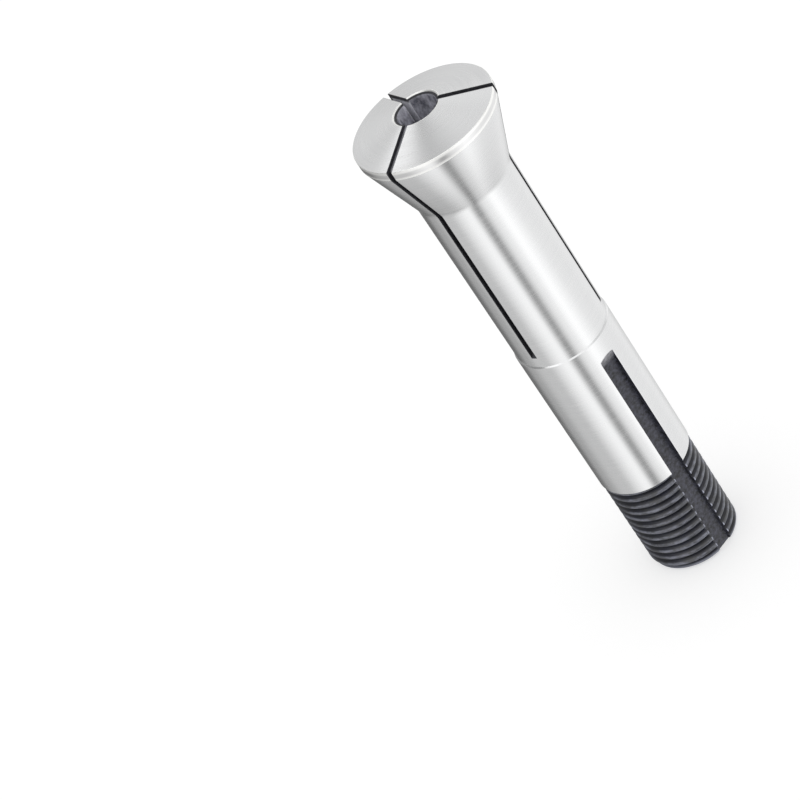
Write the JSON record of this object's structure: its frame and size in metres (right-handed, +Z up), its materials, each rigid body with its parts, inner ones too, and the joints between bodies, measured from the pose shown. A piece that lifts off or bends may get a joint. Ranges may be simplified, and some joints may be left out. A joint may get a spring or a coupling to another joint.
{
  "type": "spring collet",
  "caption": "Slotted steel spring collet with a coned head, gripping bore, ground shank, keyway and drawbar thread at its tail.",
  "frame": {"origin": "centre of the flat end face of the threaded tail", "axes": "+Z up the collet's axis from the threaded tail to the jaws, +X out through the middle of the keyway"},
  "size_m": [0.0282, 0.0282, 0.1195],
  "materials": {
    "ground_steel": "ground bright, with black oxide left on the thread, in the keyway and in the bores"
  },
  "bodies": {
    "root": {"spring_collet": "ground_steel"}
  },
  "joints": []
}
